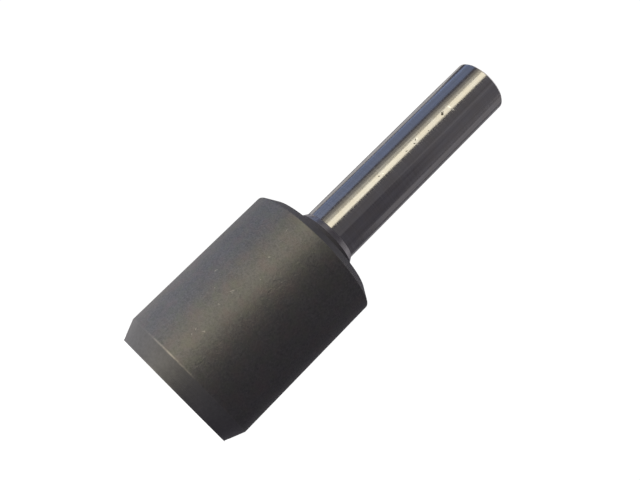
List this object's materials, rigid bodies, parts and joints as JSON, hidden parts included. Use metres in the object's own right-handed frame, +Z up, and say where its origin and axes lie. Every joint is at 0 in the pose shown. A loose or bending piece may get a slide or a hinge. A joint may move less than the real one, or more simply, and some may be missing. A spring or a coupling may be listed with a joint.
{
  "type": "hollow paper drill bit",
  "caption": "Hollow drill bit for paper: a thin-walled steel cup with a sharp bevelled rim and a flat chamfered shoulder, on a straight ground shank with a passage through it.",
  "frame": {"origin": "centre of the cutting edge, on the surface that the bit stands on", "axes": "+Z up the bit's axis, from the cutting edge to the end of the shank; X and Y are any pair across it, because the bit is round"},
  "size_m": [0.0318, 0.0318, 0.0934],
  "materials": {
    "tool_steel": "satin black oxide on the body, collar and bevel; bright ground steel on the shank"
  },
  "bodies": {
    "root": {"drill_bit": "tool_steel"}
  },
  "joints": []
}
